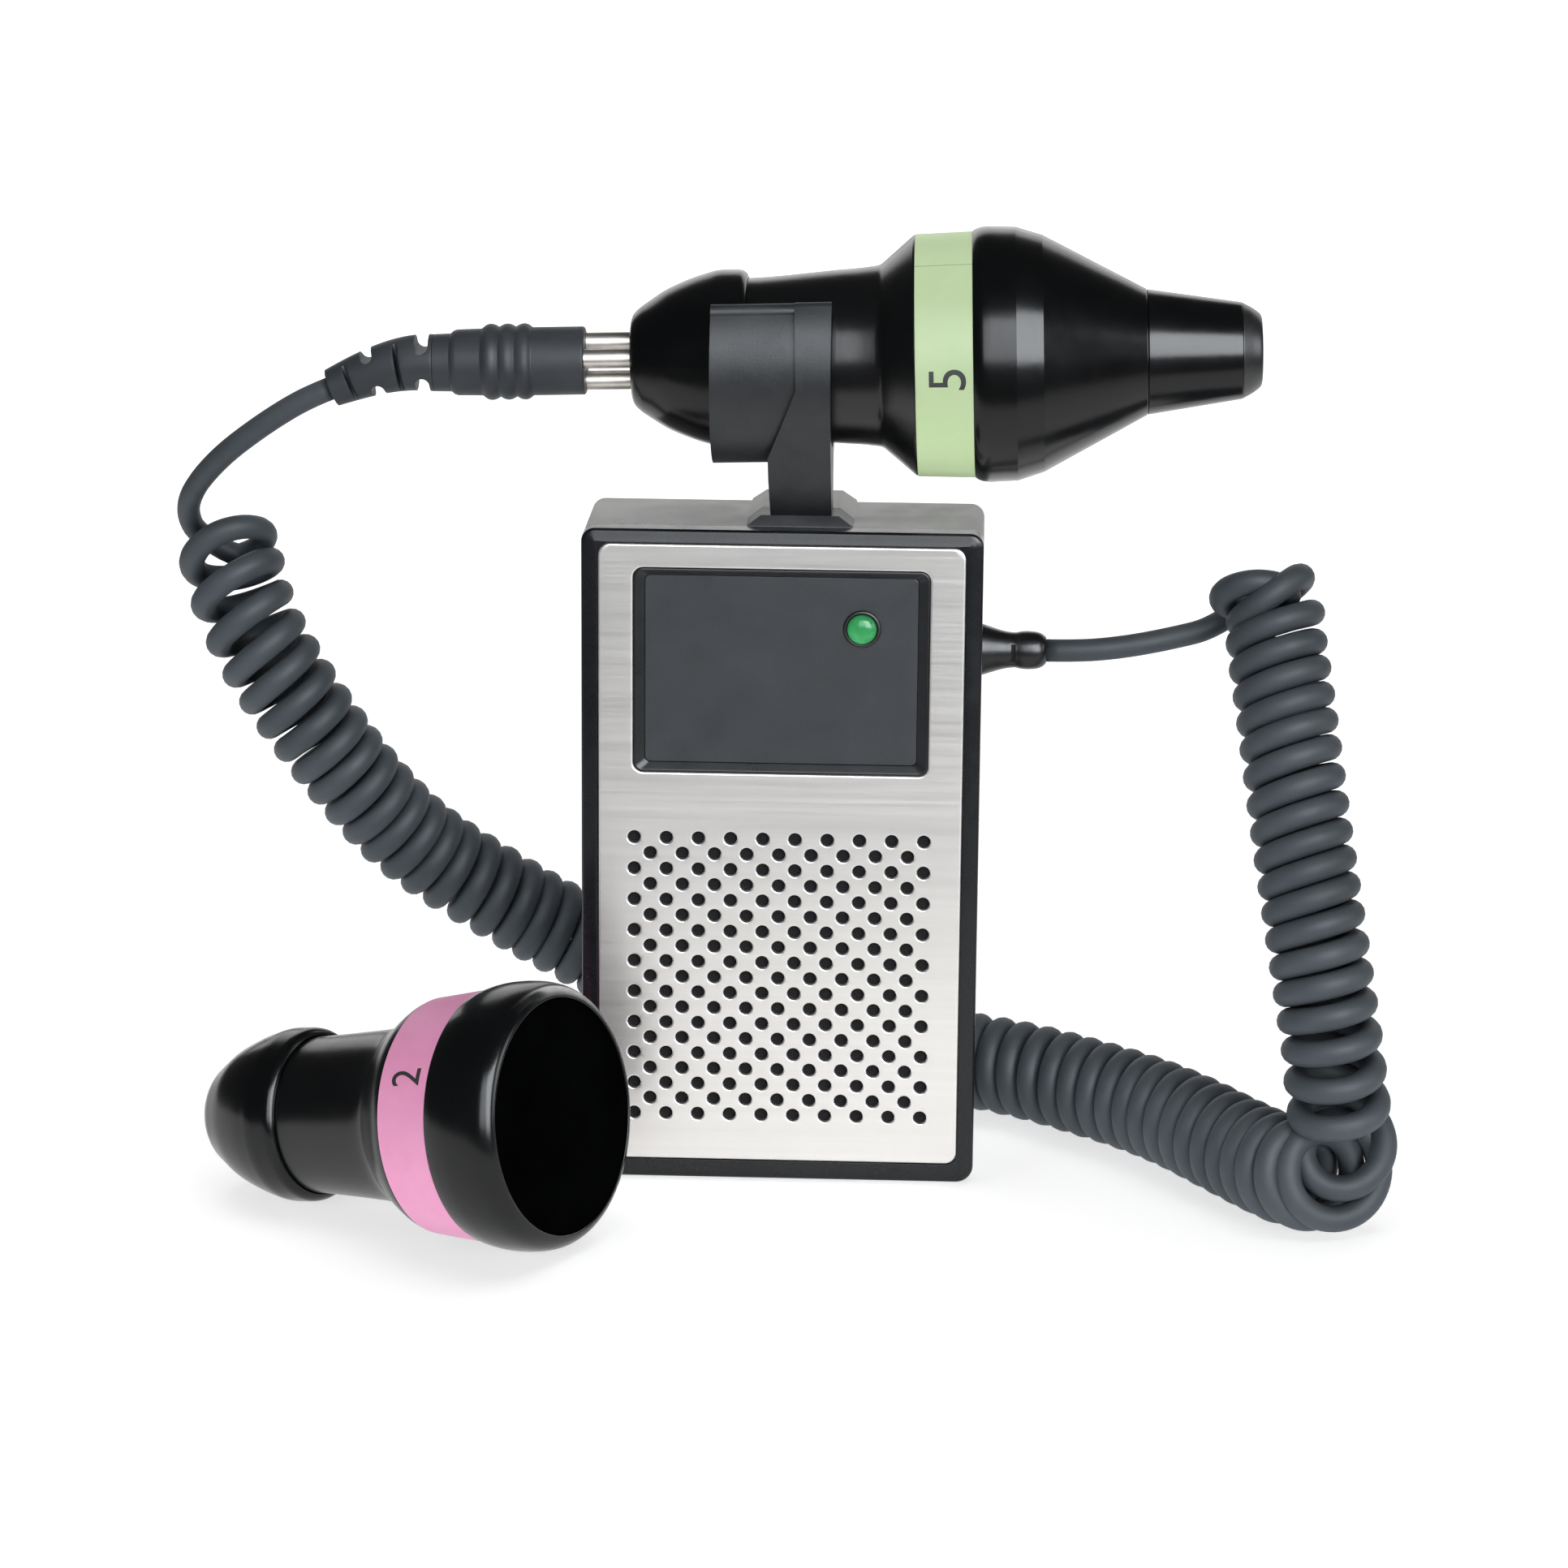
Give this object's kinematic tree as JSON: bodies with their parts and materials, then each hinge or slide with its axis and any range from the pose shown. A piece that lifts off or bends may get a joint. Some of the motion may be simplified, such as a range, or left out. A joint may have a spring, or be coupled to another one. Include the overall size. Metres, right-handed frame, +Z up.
{
  "type": "vascular doppler",
  "caption": "Pocket vascular Doppler: case with sound grille and clip-held pencil-tip probe, curly lead with a pin plug, and a broad-faced spare probe.",
  "frame": {"origin": "middle of the case's bottom face, on the surface that the case stands on", "axes": "+Z up, +X to the right as seen from the front, +Y from the front face towards the back"},
  "size_m": [0.257, 0.1353, 0.2014],
  "materials": {
    "bezel_black": "fine satin",
    "shell_grey": "satin silver-grey",
    "plate_aluminium": "brushed",
    "grille_fabric": "woven",
    "label_grey": "satin",
    "lamp_green": "clear gloss",
    "holder_black": "gloss",
    "gland_black": "gloss",
    "screw_steel": "plated",
    "clip_grey": "satin, slightly rubbery",
    "probe_black": "satin",
    "tip_black": "smooth",
    "band_green": "satin printed label",
    "band_pink": "satin printed label",
    "contact_brass": "turned",
    "pin_steel": "bright",
    "crystal_ceramic": "matte",
    "backing_resin": "matte",
    "board_green": "lacquered",
    "component_black": "matte",
    "battery_case": "satin",
    "speaker_steel": "satin",
    "cone_paper": "pressed paper",
    "plug_grey": "satin",
    "cord_grey": "satin"
  },
  "bodies": {
    "case": {"front_bezel": "bezel_black", "rear_shell": "shell_grey", "face_plate": "plate_aluminium", "grille_cloth": "grille_fabric", "label_tray": "bezel_black", "label_panel": "label_grey", "lamp_lens": "lamp_green", "lamp_holder": "holder_black", "lamp_body": "holder_black", "speaker_frame": "speaker_steel", "speaker_cone": "cone_paper", "speaker_magnet": "speaker_steel", "circuit_board": "board_green", "board_parts": "component_black", "battery": "battery_case", "battery_snap": "component_black", "volume_control": "component_black", "case_screws": "screw_steel", "cable_gland": "gland_black", "probe_clip": "clip_grey", "cord_lead_case": "cord_grey", "cord_coil_right": "cord_grey", "cord_coil_floor": "cord_grey", "cord_lead_plug": "cord_grey"},
    "door": {"battery_door": "shell_grey"},
    "wheel": {"volume_wheel": "holder_black"},
    "plug": {"plug_body": "plug_grey", "plug_pins": "pin_steel", "plug_strain_relief": "plug_grey"},
    "probe": {"probe_backing": "backing_resin", "probe_band": "band_green", "probe_barrel": "probe_black", "probe_board": "board_green", "probe_contacts": "contact_brass", "probe_crystal": "crystal_ceramic", "probe_head_shell": "probe_black", "probe_nozzle": "probe_black", "probe_socket_block": "probe_black", "probe_tail_cap": "probe_black", "probe_tip": "tip_black"},
    "spare": {"spare_backing": "backing_resin", "spare_band": "band_pink", "spare_barrel": "probe_black", "spare_board": "board_green", "spare_contacts": "contact_brass", "spare_crystals": "crystal_ceramic", "spare_face": "tip_black", "spare_head_shell": "probe_black", "spare_socket_block": "probe_black", "spare_tail_cap": "probe_black"}
  },
  "joints": [
    {"name": "probe_slide", "type": "slide", "parent": "case", "child": "probe", "axis": [0.9995, 0, 0.0304], "range_m": [0, 0.05]},
    {"name": "plug_slide", "type": "slide", "parent": "case", "child": "plug", "axis": [0.9995, 0, 0.0304], "range_m": [0, 0.0093]},
    {"name": "spare_lift", "type": "slide", "parent": "case", "child": "spare", "axis": [0, 0, 1], "range_m": [0, 0.04]},
    {"name": "volume_turn", "type": "hinge", "parent": "case", "child": "wheel", "pos_m": [-0.03455, 0.005, 0.106], "axis": [0, 0, 1], "range_deg": [0, 270]},
    {"name": "battery_door_hinge", "type": "hinge", "parent": "case", "child": "door", "pos_m": [0, 0.01615, 0.071], "axis": [-1, 0, 0], "range_deg": [0, 75]}
  ]
}
